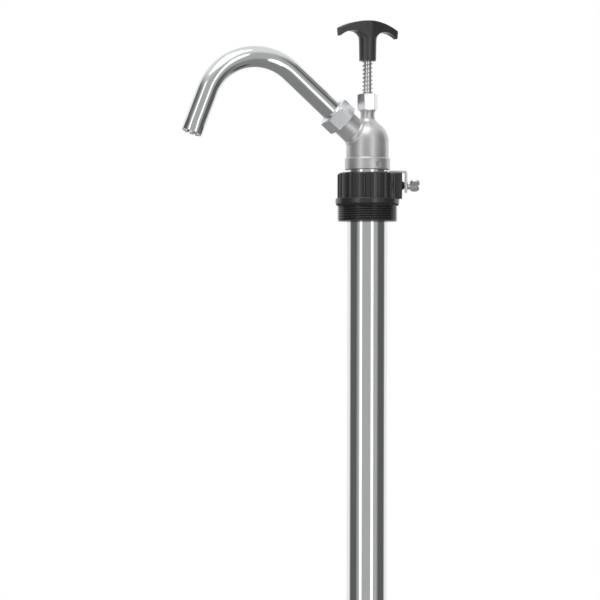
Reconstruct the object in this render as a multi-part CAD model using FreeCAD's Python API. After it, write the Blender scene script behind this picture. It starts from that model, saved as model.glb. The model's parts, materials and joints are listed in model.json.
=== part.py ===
import FreeCAD, Part
import os
from math import acos, cos, pi, radians, sin, sqrt

V = FreeCAD.Vector

# Hand lift-action drum pump. Millimetres, +Z up. The origin is the centre of the face
# where the bung collar seats on the drum, with the pump handle pushed right down.
# The spout leaves the head towards -X.

# Clearances
rest_gap = 0.05         # faces that bear on each other
running_gap = 0.03      # radial, seals and packing on what slides through them
thread_gap = 0.1        # radial, a screw or nut on its thread
guide_gap = 0.35        # radial, round pieces that only pass one another
lift_gap = 0.4          # head above the clamp clip when the barrel is right down

# Cutting
over = 1.0              # how far a cutter or an overlap reaches past what it meets
hair = 0.01             # keeps a turned face off corners that it would only touch

# Bung collar, 2 inch pipe thread
bung_thread_r = 29.8
bung_thread_length = 15.8
bung_thread_lead_in = 1.2
gasket_thickness = 1.4
gasket_neck_step = 0.9  # thread crest to the neck that the gasket sits on
gasket_margin = 0.6     # gasket edge inside the flange edge
flange_step = 1.8       # flange edge outside the thread crest
flange_height = 5.5
grip_step = 1.2         # grip inside the thread crest
grip_height = 25.3
grip_edge_chamfer = 1.0
rib_r = 1.3
rib_count = 24
rib_top_margin = 1.2
core_pocket_wall = 1.3
core_pocket_width = 2.8
core_pocket_depth = 12.8
core_web_width = 3.0
core_web_count = 6
seal_section = 2.2
seal_groove_height = 3.2
seal_groove_z = -9.6

# Barrel clamp: strip clip over the collar wall, nylon slug and wing screw
clamp_angle = -21.0     # direction of the clamp about +Z, from +X
clamp_height = 19.8
clip_thickness = 2.4
clip_width = 12.0
clip_drop = 22.0
clip_bend_r = 3.0
clip_leg_gap = 0.4      # inner leg off the barrel
clip_back_gap = 0.2     # inner leg off the keyway
clip_nub_gap = 0.6      # outer leg off the nub
keyway_side_gap = 0.3
lug_width = 14.0
lug_step = 5.6          # flat lug outside the grip
lug_root = 5.0          # inner end of the lug outside the barrel
nub_length = 2.1
nub_r = (4.6, 3.7)
clamp_screw_r = 2.95
slug_r = 2.7
slug_length = 4.9
hub_r = 4.2
hub_length = 5.2
hub_taper = 0.8
wing_lobe_r = 5.0
wing_lobe_offset = 5.3
wing_length = 12.5      # clip to the wings' outer edge
wing_thickness = 3.0
wing_tilt = 27.0

# Barrel
barrel_r = 20.0
barrel_wall = 1.0
barrel_length = 888.0

# Head casting
socket_depth = 16.4
head_seal_thickness = 1.4
band_wall = 2.4
band_height = 11.4
head_skirt = 1.0        # head outside the barrel
head_ledge = 2.5        # chamber inside the barrel
shoulder_height = 29.9
dome_mid_in = 1.9       # dome points: inside the head's side, and height
dome_mid_height = 36.4
dome_end_in = 6.5
dome_end_height = 43.4
cone_end_out = 3.2      # end of the cone outside the neck
cone_end_height = 46.9
neck_mid_out = 0.8
neck_mid_height = 49.5
neck_start = 52.9
neck_wall = 2.65
gland_thread_start = 57.4
gland_thread_wall = 1.6
head_height = 68.9
head_wall = 3.6
packing_section = 2.3
gland_pocket_depth = 7.0
set_screw_r = 1.95
set_screw_height = 5.0
set_screw_angle = -83.0
set_screw_socket_r = 1.0
set_screw_socket_depth = 1.3

# Spout boss, union nut and spout
boss_height = 24.8      # boss axis above the head's lower face, on the barrel axis
boss_rise = 40.7
boss_wall = 2.2
boss_reach = 43.0
boss_socket_depth = 12.0
boss_ledge = 2.0
union_wall = 1.8
union_lap = 9.0
union_overhang = 7.5
union_shoulder = 3.4
union_chamfer = 2.2
union_inner_chamfer = 0.5
union_turn = -20.0
spout_r = 10.65
spout_wall = 1.2
spout_socket_length = 11.0
spout_straight_end = 107.2
spout_bend_r = 54.3
spout_drop = 68.6
spout_tail = 44.0
ferrule_step = 0.6      # ferrule edge inside the boss edge
ferrule_thickness = 2.4
spout_gasket_thickness = 1.4

# Gland
packing_thickness = 3.95
gland_nut_height = 16.8
gland_nut_lift = 1.1    # nut above the start of its thread
gland_nut_wall = 1.1
gland_nut_depth = 11.6
gland_nut_chamfer = 1.0
gland_nut_turn = -9.0

# Rod, handle and bumper spring
rod_r = 4.0
spring_free = 34.0
spring_wire_r = 0.5
spring_step = 0.9       # middle of the wire outside the rod
spring_turns = 8
washer_step = 1.1       # washer edge outside the middle of the wire
washer_thickness = 1.0
handle_foot_lap = 1.5   # handle foot below the top of the spring
stem_wall = 1.95
stem_taper = 0.6
stem_height = 26.0
handle_height = 39.6
wing_span = 33.5
wing_end_height = (24.4, 31.3)
wing_end_slope = 0.8
wing_arch = ((27.0, 28.0), (20.0, 29.3))
wing_root_height = 30.0
flare_start = 14.0
flare_arc = ((9.9, 24.6), (14.0, 28.6))
flare_r = 20.0
ridge_r = 9.4
wing_end_half_width = 3.2
handle_turn = 10.0
insert_wall = 1.6
insert_length = 18.0
insert_depth = 8.0
rod_grip_length = 16.0

# Piston
foot_clearance = 14.9   # rod's end above the foot valve
piston_flange_step = 0.7
piston_flange = 4.0
piston_core_step = 4.0
piston_core_height = 13.0
piston_shoulder = 6.0
piston_stud_r = 3.0
piston_port_r = 3.2
piston_port_margin = 1.6
piston_port_count = 6
cup_height = 7.0
cup_web = 2.0
cup_lip = (1.0, 1.6)    # radial thickness of the lip at its edge and at its root
retainer_height = 1.2
valve_margin = 1.0      # valve edge inside the core edge
valve_thickness = 1.5
valve_lift = 4.5
valve_bore_gap = 0.4
stop_ring_step = 3.5
stop_ring_thickness = 1.4
piston_washer_r = 7.0
piston_washer_thickness = 1.6
piston_nut_flat_r = 5.0
piston_nut_height = 5.0
stud_tail = 1.4

# Foot valve
cage_margin = 4.0       # cage above the cross pin
foot_rim = 12.0
foot_leg = 6.0
foot_slot_width = 10.0
foot_slot_count = 4
ball_r = 9.5
ball_lift = 5.0
ball_passage = 3.0
seat_lap = 2.0          # seat edge inside the ball
seat_height = 5.0       # seat edge above the foot of the barrel tube
seat_land = 1.0
foot_passage_r = 11.0
strainer_margin = 5.0   # strainer recess inside the foot's edge
strainer_thickness = 1.2
strainer_hole_r = 1.5
strainer_rings = ((5.0, 6), (10.0, 12))
foot_pin_r = 1.25
foot_pin_inset = 0.3    # pin's end inside the side of the spigot
foot_ring_r = 1.3
foot_ring_height = 12.0
foot_screw_r = 1.5
foot_screw_head_r = 2.8
foot_screw_length = 4.6
foot_screw_sink = 0.25
foot_screw_height = 21.0
foot_screw_count = 3
screw_hole_gap = 0.1

# Radii and reaches that follow
gasket_neck_r = bung_thread_r - gasket_neck_step
flange_r = bung_thread_r + flange_step
gasket_r = flange_r - gasket_margin
grip_r = bung_thread_r - grip_step
collar_bore_r = barrel_r + guide_gap
seal_groove_r = barrel_r + seal_section
core_pocket_inner_r = seal_groove_r + core_pocket_wall
clip_inner_x = barrel_r + clip_leg_gap
lug_x = grip_r + lug_step
nub_x = lug_x + nub_length
clip_outer_x = nub_x + clip_nub_gap + clip_thickness
clamp_hole_r = clamp_screw_r + thread_gap
barrel_bore_r = barrel_r - barrel_wall
socket_r = barrel_r + rest_gap
band_r = barrel_r + band_wall
head_r = barrel_r + head_skirt
head_cavity_r = barrel_r - head_ledge
rod_hole_r = rod_r + guide_gap
neck_r = rod_hole_r + neck_wall
gland_pocket_r = rod_r + packing_section
gland_thread_r = gland_pocket_r + gland_thread_wall
gland_nut_flat_r = gland_thread_r + gland_nut_wall
spout_socket_r = spout_r + guide_gap
boss_r = spout_socket_r + boss_wall
boss_passage_r = spout_socket_r - boss_ledge
union_flat_r = boss_r + union_wall
union_start = boss_reach - union_lap
union_end = boss_reach + union_overhang
ferrule_r = boss_r - ferrule_step
spring_mean_r = rod_r + spring_step
washer_r = spring_mean_r + washer_step
washer_recess_r = washer_r + guide_gap
stem_foot_r = washer_recess_r + stem_wall
insert_r = rod_r + insert_wall
piston_flange_r = barrel_bore_r - piston_flange_step
piston_core_r = barrel_bore_r - piston_core_step
piston_port_circle = piston_core_r - piston_port_margin - piston_port_r
valve_r = piston_core_r - valve_margin
spigot_r = barrel_bore_r - thread_gap
ball_chamber_r = ball_r + ball_passage
seat_r = ball_r - seat_lap
strainer_recess_r = barrel_r - strainer_margin

# Heights that follow
flange_z = gasket_thickness + rest_gap
grip_z = flange_z + flange_height
collar_top = grip_z + grip_height
clip_top = collar_top + 2 * rest_gap + clip_thickness
head_z = clip_top + lift_gap
barrel_top = head_z + socket_depth - head_seal_thickness - 2 * rest_gap
barrel_foot = barrel_top - barrel_length
head_top = head_z + head_height
gland_nut_z = head_z + gland_thread_start + gland_nut_lift
spring_z = gland_nut_z + gland_nut_height
washer_z = spring_z + spring_free + rest_gap
handle_z = spring_z + spring_free - handle_foot_lap
insert_z = handle_z + insert_depth
seat_z = barrel_foot + seat_height
ball_z = seat_z + sqrt(ball_r ** 2 - seat_r ** 2) + rest_gap
pin_z = ball_z + ball_r + ball_lift + 2 * rest_gap + foot_pin_r
spigot_top = pin_z + foot_pin_r + cage_margin
foot_z = barrel_foot - foot_rim
rod_end_z = spigot_top + foot_clearance
piston_nut_z = rod_end_z + stud_tail
piston_z = piston_nut_z + piston_nut_height + piston_washer_thickness + 2 * rest_gap


def rod(r, z0, z1):
    """Upright solid cylinder on the Z axis."""
    return Part.makeCylinder(r, z1 - z0, V(0, 0, z0))


def ring(outer_r, inner_r, z0, z1):
    return rod(outer_r, z0, z1).cut(rod(inner_r, z0 - over, z1 + over))


def wire(start, *steps):
    """Closed outline in the XZ plane. A step is an end point, or (through, end) for an arc."""
    edges = []
    here = V(start[0], 0, start[1])
    for step in steps + (start,):
        if isinstance(step[0], tuple):
            through, end = (V(x, 0, z) for x, z in step)
            edges.append(Part.Arc(here, through, end).toShape())
        else:
            end = V(step[0], 0, step[1])
            edges.append(Part.makeLine(here, end))
        here = end
    return Part.Wire(edges)


def turned(start, *steps):
    """Solid of revolution about Z from an outline in radius and height."""
    return Part.Face(wire(start, *steps)).revolve(V(0, 0, 0), V(0, 0, 1), 360)


def hexagon(flat_r, z0, z1, turn):
    """Upright hexagonal bar with one corner turned from +X."""
    corner_r = flat_r / cos(radians(30))
    corners = [radians(turn + 60 * k) for k in range(7)]
    outline = Part.makePolygon([V(corner_r * cos(a), corner_r * sin(a), z0) for a in corners])
    return Part.Face(outline).extrude(V(0, 0, z1 - z0))


def chamfered_hexagon(flat_r, z0, z1, turn, bottom, top):
    """Hexagonal bar whose corners are turned off by cones of the given heights at its ends."""
    corner_r = flat_r / cos(radians(30)) + hair
    blank = turned((0, z0), (corner_r - 2 * bottom, z0), (corner_r, z0 + bottom),
                   (corner_r, z1 - top), (corner_r - 2 * top, z1), (0, z1))
    return hexagon(flat_r, z0, z1, turn).common(blank)


def turned_about_z(shape, angle):
    copy = shape.copy()
    copy.rotate(V(0, 0, 0), V(0, 0, 1), angle)
    return copy


def radial(shape, height, angle):
    """Lay a piece made on +Z down, so that it points outwards along the given direction."""
    copy = shape.copy()
    copy.rotate(V(0, 0, 0), V(0, 1, 0), 90)
    copy.rotate(V(0, 0, 0), V(0, 0, 1), angle)
    copy.translate(V(0, 0, height))
    return copy


def on_boss(shape):
    """Move a piece made on +Z onto the axis of the spout boss."""
    copy = shape.copy()
    copy.rotate(V(0, 0, 0), V(0, 1, 0), boss_rise - 90)
    copy.translate(V(0, 0, head_z + boss_height))
    return copy


def at_clamp(shape):
    """Move a piece made along +X to the direction of the clamp."""
    return turned_about_z(shape, clamp_angle)


def block(x0, x1, width, z0, z1):
    """Box centred on the XZ plane."""
    return Part.makeBox(x1 - x0, width, z1 - z0, V(x0, -width / 2, z0))


def around(count, start=0.0):
    return [start + k * 360 / count for k in range(count)]


# ---- bung collar -------------------------------------------------------------

def bung_collar():
    thread_z = -bung_thread_length
    body = turned((0, thread_z), (bung_thread_r - bung_thread_lead_in, thread_z),
                  (bung_thread_r, thread_z + bung_thread_lead_in), (bung_thread_r, 0),
                  (gasket_neck_r, 0), (gasket_neck_r, flange_z), (flange_r, flange_z),
                  (flange_r, grip_z), (grip_r, grip_z), (grip_r, collar_top - grip_edge_chamfer),
                  (grip_r - grip_edge_chamfer, collar_top), (0, collar_top))
    ribs = [Part.makeCylinder(rib_r, grip_height - rib_top_margin, V(grip_r, 0, grip_z))]
    ribs = [turned_about_z(ribs[0], clamp_angle + a) for a in around(rib_count, 180 / rib_count)]
    nub = Part.makeCone(nub_r[0], nub_r[1], nub_length)
    nub.translate(V(0, 0, lug_x))
    lug = block(barrel_r + lug_root, lug_x, lug_width, grip_z, collar_top)
    body = body.fuse(ribs + [at_clamp(lug), radial(nub, clamp_height, clamp_angle)])
    return body.cut([collar_bore(), seal_groove(), core_pockets(), clip_keyway(), clamp_hole()])


def collar_bore():
    return rod(collar_bore_r, -bung_thread_length - over, collar_top + over)


def seal_groove():
    return rod(seal_groove_r, seal_groove_z, seal_groove_z + seal_groove_height)


def core_pockets():
    """Hollows that thin the collar from below, left with webs between them."""
    bottom = -bung_thread_length
    outer_r = core_pocket_inner_r + core_pocket_width
    hollow = ring(outer_r, core_pocket_inner_r, bottom - over, bottom + core_pocket_depth)
    web = block(core_pocket_inner_r - over, outer_r + over, core_web_width,
                bottom - 2 * over, collar_top)
    return hollow.cut([turned_about_z(web, a) for a in around(core_web_count)])


def clip_keyway():
    depth_x = clip_inner_x + clip_thickness + clip_back_gap
    foot = clip_top - clip_drop - 2 * keyway_side_gap
    width = clip_width + 2 * keyway_side_gap
    slot = block(barrel_r - over, depth_x, width, foot, collar_top + over)
    return at_clamp(slot)


def clamp_hole():
    """Way for the slug and the screw through the collar wall and both legs of the clip."""
    return radial(rod(clamp_hole_r, barrel_r - over, clip_outer_x + over), clamp_height, clamp_angle)


def bung_gasket():
    return ring(gasket_r, gasket_neck_r + rest_gap, 0, gasket_thickness)


def collar_seal():
    return ring(seal_groove_r - rest_gap, barrel_r + running_gap,
                seal_groove_z + rest_gap, seal_groove_z + seal_groove_height - rest_gap)


def clamp_clip():
    """Strip bent over the collar wall: one leg in the keyway, one carrying the screw thread."""
    foot = clip_top - clip_drop
    outline = wire((clip_inner_x, foot),
                   (clip_inner_x, clip_top - clip_bend_r),
                   bend(clip_inner_x + clip_bend_r, clip_top - clip_bend_r, 180, 90),
                   (clip_outer_x - clip_bend_r, clip_top),
                   bend(clip_outer_x - clip_bend_r, clip_top - clip_bend_r, 90, 0),
                   (clip_outer_x, foot),
                   (clip_outer_x - clip_thickness, foot),
                   (clip_outer_x - clip_thickness, clip_top - clip_thickness),
                   (clip_inner_x + clip_thickness, clip_top - clip_thickness),
                   (clip_inner_x + clip_thickness, foot))
    strip = Part.Face(outline).extrude(V(0, clip_width, 0))
    strip.translate(V(0, -clip_width / 2, 0))
    return at_clamp(strip).cut(clamp_hole())


def bend(x, z, start, end):
    """Arc step round a strip's outer corner."""
    def point(angle):
        return (x + clip_bend_r * cos(radians(angle)), z + clip_bend_r * sin(radians(angle)))
    return (point((start + end) / 2), point(end))


def clamp_slug():
    start = barrel_r + 2 * rest_gap
    return radial(rod(slug_r, start, start + slug_length), clamp_height, clamp_angle)


def clamp_screw():
    start = barrel_r + slug_length + 3 * rest_gap
    hub_x = clip_outer_x + lift_gap
    shank = rod(clamp_screw_r, start, hub_x + over)
    hub = turned((0, hub_x), (hub_r, hub_x), (hub_r - hub_taper, hub_x + hub_length),
                 (0, hub_x + hub_length))
    screw = shank.fuse([hub] + [wing_lobe(side) for side in (-1, 1)])
    return radial(screw, clamp_height, clamp_angle)


def wing_lobe(side):
    """Round flat lobe beside the screw hub, in the plane of the tilted wings."""
    lobe = Part.makeCylinder(wing_lobe_r, wing_thickness, V(0, 0, -wing_thickness / 2))
    lobe.rotate(V(0, 0, 0), V(1, 0, 0), 90)
    lobe.translate(V(side * wing_lobe_offset, 0, clip_outer_x + wing_length - wing_lobe_r))
    lobe.rotate(V(0, 0, 0), V(0, 0, 1), 90 - wing_tilt)
    return lobe


# ---- barrel and head ---------------------------------------------------------

def barrel_tube():
    tube = ring(barrel_r, barrel_bore_r, barrel_foot, barrel_top)
    return tube.cut(foot_screw_cutters())


def tube_seal():
    z0 = barrel_top + rest_gap
    return ring(socket_r - rest_gap, head_cavity_r + rest_gap, z0, z0 + head_seal_thickness)


def pump_head():
    outside = head_outside().fuse(on_boss(rod(boss_r, 0, boss_reach)))
    return outside.cut([head_inside(), on_boss(boss_inside()), set_screw_hole()])


def head_outside():
    dome_mid = (head_r - dome_mid_in, head_z + dome_mid_height)
    dome_end = (head_r - dome_end_in, head_z + dome_end_height)
    cone_end = (neck_r + cone_end_out, head_z + cone_end_height)
    neck_mid = (neck_r + neck_mid_out, head_z + neck_mid_height)
    return turned((0, head_z), (band_r, head_z), (band_r, head_z + band_height),
                  (head_r, head_z + band_height), (head_r, head_z + shoulder_height),
                  (dome_mid, dome_end), cone_end, (neck_mid, (neck_r, head_z + neck_start)),
                  (neck_r, head_z + gland_thread_start),
                  (gland_thread_r, head_z + gland_thread_start),
                  (gland_thread_r, head_top), (0, head_top))


def head_inside():
    """Barrel socket, chamber, rod guide and packing pocket, as one solid."""
    socket = rod(socket_r, head_z - over, head_z + socket_depth)
    floor_z = head_z + socket_depth - over
    roof_z = head_z + dome_end_height - head_wall
    chamber = turned((0, floor_z), (head_cavity_r, floor_z),
                     (head_cavity_r, head_z + shoulder_height),
                     (head_r - dome_end_in - head_wall, roof_z), (0, roof_z))
    guide = rod(rod_hole_r, roof_z - over, head_top + over)
    pocket = rod(gland_pocket_r, head_top - gland_pocket_depth, head_top + over)
    return socket.fuse([chamber, guide, pocket])


def boss_inside():
    passage = rod(boss_passage_r, 0, boss_reach + over)
    return passage.fuse(rod(spout_socket_r, boss_reach - boss_socket_depth, boss_reach + over))


def set_screw_hole():
    hole = rod(set_screw_r + thread_gap, barrel_r - over, band_r + over)
    return radial(hole, head_z + set_screw_height, set_screw_angle)


def head_set_screw():
    """Socket grub screw that bears on the barrel through the head's band."""
    screw = rod(set_screw_r, barrel_r + rest_gap, band_r - 2 * rest_gap)
    socket = hexagon(set_screw_socket_r, band_r - set_screw_socket_depth, band_r + over, 0)
    return radial(screw.cut(socket), head_z + set_screw_height, set_screw_angle)


# ---- gland -------------------------------------------------------------------

def gland_packing():
    z0 = head_top - gland_pocket_depth + rest_gap
    return ring(gland_pocket_r - thread_gap, rod_r + running_gap, z0, z0 + packing_thickness)


def gland_follower():
    z0 = head_top - gland_pocket_depth + packing_thickness + 2 * rest_gap
    z1 = gland_nut_z + gland_nut_depth - rest_gap
    return ring(gland_pocket_r - thread_gap, rod_hole_r, z0, z1)


def gland_nut():
    nut = chamfered_hexagon(gland_nut_flat_r, gland_nut_z, spring_z, gland_nut_turn,
                            gland_nut_chamfer, gland_nut_chamfer)
    thread = rod(gland_thread_r + thread_gap, gland_nut_z - over, gland_nut_z + gland_nut_depth)
    return nut.cut([thread, rod(rod_hole_r, gland_nut_z, spring_z + over)])


# ---- spout -------------------------------------------------------------------

def union_nut():
    nut = chamfered_hexagon(union_flat_r, union_start, union_end, union_turn,
                            union_inner_chamfer, union_chamfer)
    thread = rod(boss_r + thread_gap, union_start - over, union_end - union_shoulder)
    return on_boss(nut.cut([thread, rod(spout_socket_r, union_start, union_end + over)]))


def spout_gasket():
    z0 = boss_reach + rest_gap
    return on_boss(ring(ferrule_r, spout_r + rest_gap, z0, z0 + spout_gasket_thickness))


def spout_ferrule():
    z1 = union_end - union_shoulder - 2 * rest_gap
    return on_boss(ring(ferrule_r, spout_r + rest_gap, z1 - ferrule_thickness, z1))


def spout():
    """Tube bent in one plane: socket end, straight, bend over the top, straight tail."""
    turn = radians(boss_rise + spout_drop)
    start = boss_reach - spout_socket_length
    bend_end = V(-spout_bend_r * (1 - cos(turn)), 0, spout_straight_end + spout_bend_r * sin(turn))
    halfway = V(-spout_bend_r * (1 - cos(turn / 2)), 0,
                spout_straight_end + spout_bend_r * sin(turn / 2))
    tail = V(-sin(turn), 0, cos(turn)) * spout_tail
    path = Part.Wire([
        Part.makeLine(V(0, 0, start), V(0, 0, spout_straight_end)),
        Part.Arc(V(0, 0, spout_straight_end), halfway, bend_end).toShape(),
        Part.makeLine(bend_end, bend_end + tail)])
    section = ring_face(spout_r, spout_r - spout_wall, start)
    return on_boss(path.makePipe(section))


def ring_face(outer_r, inner_r, z):
    outer, inner = (Part.Face(Part.Wire(Part.makeCircle(r, V(0, 0, z)))) for r in (outer_r, inner_r))
    return outer.cut(inner).Faces[0]


# ---- rod, handle and spring --------------------------------------------------

def pump_rod():
    """Rod from the handle insert down to the threaded stud that carries the piston."""
    top = insert_z + rod_grip_length
    shank = rod(rod_r, piston_z + piston_shoulder, top)
    return shank.fuse(rod(piston_stud_r, rod_end_z, piston_z + piston_shoulder + over))


def handle_insert():
    hole = rod(rod_r + rest_gap, insert_z - over, insert_z + rod_grip_length + rest_gap)
    return rod(insert_r, insert_z, insert_z + insert_length).cut(hole)


def t_handle():
    """Palm grip: a long diamond in plan, domed on top, with a flared stem below."""
    wing = Part.Face(half_wing_outline()).extrude(V(0, 2 * ridge_r, 0))
    wing.translate(V(0, -ridge_r, handle_z))
    flare = turned((0, flare_start), (stem_foot_r, flare_start), flare_arc,
                   (flare_r, wing_root_height), (0, wing_root_height))
    flare.translate(V(0, 0, handle_z))
    wings = wing.fuse([wing.mirror(V(0, 0, 0), V(1, 0, 0)), flare]).common(handle_plan())
    stem = Part.makeCone(stem_foot_r, stem_foot_r + stem_taper, stem_height, V(0, 0, handle_z))
    recess = rod(washer_recess_r, handle_z - over, washer_z + washer_thickness + rest_gap)
    rod_hole = rod(rod_hole_r, handle_z, insert_z + over)
    insert_hole = rod(insert_r + rest_gap, insert_z - rest_gap, insert_z + insert_length + rest_gap)
    solid = wings.fuse(stem).removeSplitter().cut([recess, rod_hole, insert_hole])
    return turned_about_z(solid, handle_turn)


def half_wing_outline():
    """Side view of one wing from its domed top round the blunt end to the arched underside."""
    low, high = wing_end_height
    drop = handle_height - high
    crown_r = (wing_span ** 2 + drop ** 2) / (2 * drop)
    half_angle = acos(1 - drop / crown_r) / 2
    crown_mid = (crown_r * sin(half_angle), handle_height - crown_r * (1 - cos(half_angle)))
    return wire((0, handle_height), (crown_mid, (wing_span, high)), (wing_span - wing_end_slope, low),
                wing_arch, (0, wing_root_height))


def handle_plan():
    """Plan of the wings: a long diamond with its ends cut off."""
    half_plan = [(wing_span, -wing_end_half_width), (wing_span, wing_end_half_width), (0, ridge_r)]
    points = half_plan + [(-x, -y) for x, y in half_plan]
    corners = [V(x, y, handle_z) for x, y in points]
    return Part.Face(Part.makePolygon(corners + corners[:1])).extrude(V(0, 0, 2 * handle_height))


def bumper_spring():
    """Coil built from half turns, so that each face follows its own short stretch of wire."""
    rise = spring_free - 2 * spring_wire_r - 2 * rest_gap
    pitch = rise / spring_turns
    start = V(spring_mean_r, 0, spring_z + spring_wire_r + rest_gap)
    helix = Part.makeHelix(pitch, pitch / 2, spring_mean_r)
    helix.translate(V(0, 0, start.z))
    along = V(0, 2 * pi * spring_mean_r, pitch)
    section = Part.Wire(Part.makeCircle(spring_wire_r, start, along))
    half_turn = Part.Wire(helix.Edges).makePipeShell([section], True, True)
    halves = []
    for k in range(2 * spring_turns):
        half = turned_about_z(half_turn, 180 * k)
        half.translate(V(0, 0, k * pitch / 2))
        halves.append(half)
    return halves[0].fuse(halves[1:])


def spring_washer():
    return ring(washer_r, rod_hole_r, washer_z, washer_z + washer_thickness)


# ---- piston ------------------------------------------------------------------

def piston_body():
    flange = rod(piston_flange_r, piston_z, piston_z + piston_flange)
    body = flange.fuse(rod(piston_core_r, piston_z, piston_z + piston_core_height))
    port = Part.makeCylinder(piston_port_r, piston_core_height + 2 * over,
                             V(piston_port_circle, 0, piston_z - over))
    ports = [turned_about_z(port, a) for a in around(piston_port_count)]
    stud_hole = rod(piston_stud_r + rest_gap, piston_z - over, piston_z + piston_core_height)
    rod_hole = rod(rod_r + rest_gap, piston_z + piston_shoulder - rest_gap,
                   piston_z + piston_core_height + over)
    return body.cut(ports + [stud_hole, rod_hole])


def piston_cup():
    """Cup seal: a ring on the flange with its lip spread against the barrel."""
    z0 = piston_z + piston_flange + rest_gap
    inner_r = piston_core_r + rest_gap
    lip_r = barrel_bore_r - running_gap
    edge, root = cup_lip
    return turned((inner_r, z0), (lip_r, z0), (lip_r, z0 + cup_height),
                  (lip_r - edge, z0 + cup_height), (lip_r - root, z0 + cup_web),
                  (inner_r, z0 + cup_web))


def cup_retainer():
    z0 = piston_z + piston_flange + cup_web + 2 * rest_gap
    outer_r = barrel_bore_r - running_gap - cup_lip[1] - rest_gap
    return ring(outer_r, piston_core_r + rest_gap, z0, z0 + retainer_height)


def piston_valve():
    z0 = piston_z + piston_core_height + rest_gap
    return ring(valve_r, rod_r + valve_bore_gap, z0, z0 + valve_thickness)


def valve_stop_ring():
    z0 = piston_z + piston_core_height + valve_thickness + valve_lift + 2 * rest_gap
    return ring(rod_r + stop_ring_step, rod_r + rest_gap, z0, z0 + stop_ring_thickness)


def piston_washer():
    z1 = piston_z - rest_gap
    return ring(piston_washer_r, piston_stud_r + rest_gap, z1 - piston_washer_thickness, z1)


def piston_nut():
    top = piston_nut_z + piston_nut_height
    nut = hexagon(piston_nut_flat_r, piston_nut_z, top, 0)
    return nut.cut(rod(piston_stud_r + thread_gap, piston_nut_z - over, top + over))


# ---- foot valve --------------------------------------------------------------

def foot_body():
    """Plug in the barrel's foot: ball seat and cage above, inlet feet below."""
    body = rod(spigot_r, barrel_foot - over, spigot_top).fuse(
        rod(barrel_r, foot_z - foot_leg, barrel_foot - rest_gap))
    passage = turned((0, foot_z - over), (foot_passage_r, foot_z - over),
                     (foot_passage_r, barrel_foot),
                     (seat_r, seat_z - seat_land), (seat_r, seat_z), (ball_chamber_r, seat_z),
                     (ball_chamber_r, spigot_top + over), (0, spigot_top + over))
    strainer_seat = rod(strainer_recess_r, foot_z - foot_leg - over,
                        foot_z + strainer_thickness + rest_gap)
    slots = [turned_about_z(foot_slot(), a) for a in around(foot_slot_count)]
    ring_z = barrel_foot + foot_ring_height
    groove_r = spigot_r - 2 * foot_ring_r + thread_gap
    groove = ring(barrel_r, groove_r, ring_z, ring_z + 2 * foot_ring_r)
    return body.cut([passage, strainer_seat, groove, pin_hole()] + slots + foot_screw_cutters())


def foot_slot():
    return block(0, barrel_r + over, foot_slot_width, foot_z - foot_leg - over, foot_z)


def pin_hole():
    """Hole for the cross pin that stops the ball at the top of its lift."""
    return Part.makeCylinder(foot_pin_r + rest_gap, 2 * barrel_r, V(-barrel_r, 0, pin_z), V(1, 0, 0))


def foot_pin():
    reach = spigot_r - foot_pin_inset
    return Part.makeCylinder(foot_pin_r, 2 * reach, V(-reach, 0, pin_z), V(1, 0, 0))


def foot_ball():
    return Part.makeSphere(ball_r, V(0, 0, ball_z))


def foot_o_ring():
    ring_z = barrel_foot + foot_ring_height
    outer_r = barrel_bore_r - rest_gap
    inner_r = barrel_bore_r - 2 * foot_ring_r + rest_gap
    return ring(outer_r, inner_r, ring_z + rest_gap, ring_z + 2 * foot_ring_r - rest_gap)


def foot_strainer():
    disc = rod(strainer_recess_r - rest_gap, foot_z, foot_z + strainer_thickness)
    hole = Part.makeCylinder(strainer_hole_r, strainer_thickness + 2 * over,
                             V(0, 0, foot_z - over))
    holes = [hole]
    for circle_r, count in strainer_rings:
        for a in around(count):
            moved = hole.copy()
            moved.translate(V(circle_r * cos(radians(a)), circle_r * sin(radians(a)), 0))
            holes.append(moved)
    return disc.cut(holes)


def foot_screw(clearance):
    """Countersunk screw on +Z, its head just inside the barrel's side."""
    r = foot_screw_r + clearance
    head_r = foot_screw_head_r + clearance
    face = barrel_r - foot_screw_sink
    shank = rod(r, barrel_r - foot_screw_length - clearance, face)
    return shank.fuse(Part.makeCone(r, head_r, head_r - r, V(0, 0, face - (head_r - r))))


def foot_screw_cutters():
    recess = rod(foot_screw_head_r + screw_hole_gap, barrel_r - foot_screw_sink, barrel_r + over)
    hole = foot_screw(screw_hole_gap).fuse(recess)
    return [radial(hole, barrel_foot + foot_screw_height, a) for a in around(foot_screw_count, 90)]


def foot_screws():
    screws = [radial(foot_screw(0), barrel_foot + foot_screw_height, a)
              for a in around(foot_screw_count, 90)]
    return Part.makeCompound(screws)


# ---- output ------------------------------------------------------------------

os.makedirs("parts", exist_ok=True)

pieces = (bung_collar, bung_gasket, collar_seal, clamp_clip, clamp_slug, clamp_screw,
          barrel_tube, tube_seal, pump_head, head_set_screw,
          gland_packing, gland_follower, gland_nut,
          union_nut, spout_gasket, spout_ferrule, spout,
          pump_rod, handle_insert, t_handle, bumper_spring, spring_washer,
          piston_body, piston_cup, cup_retainer, piston_valve, valve_stop_ring,
          piston_washer, piston_nut,
          foot_body, foot_pin, foot_ball, foot_o_ring, foot_strainer, foot_screws)

for piece in pieces:
    shape = piece()
    name = piece.__name__
    print(name, len(shape.Solids), "solid(s)", round(shape.Volume, 1), "mm3",
          "valid" if shape.isValid() else "NOT VALID")
    shape.exportStep("parts/" + name + ".step")
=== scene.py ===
# Drum pump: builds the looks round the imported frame, one section for each piece
import json
import math

import bmesh
import bpy
from mathutils import Matrix, Vector


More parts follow.
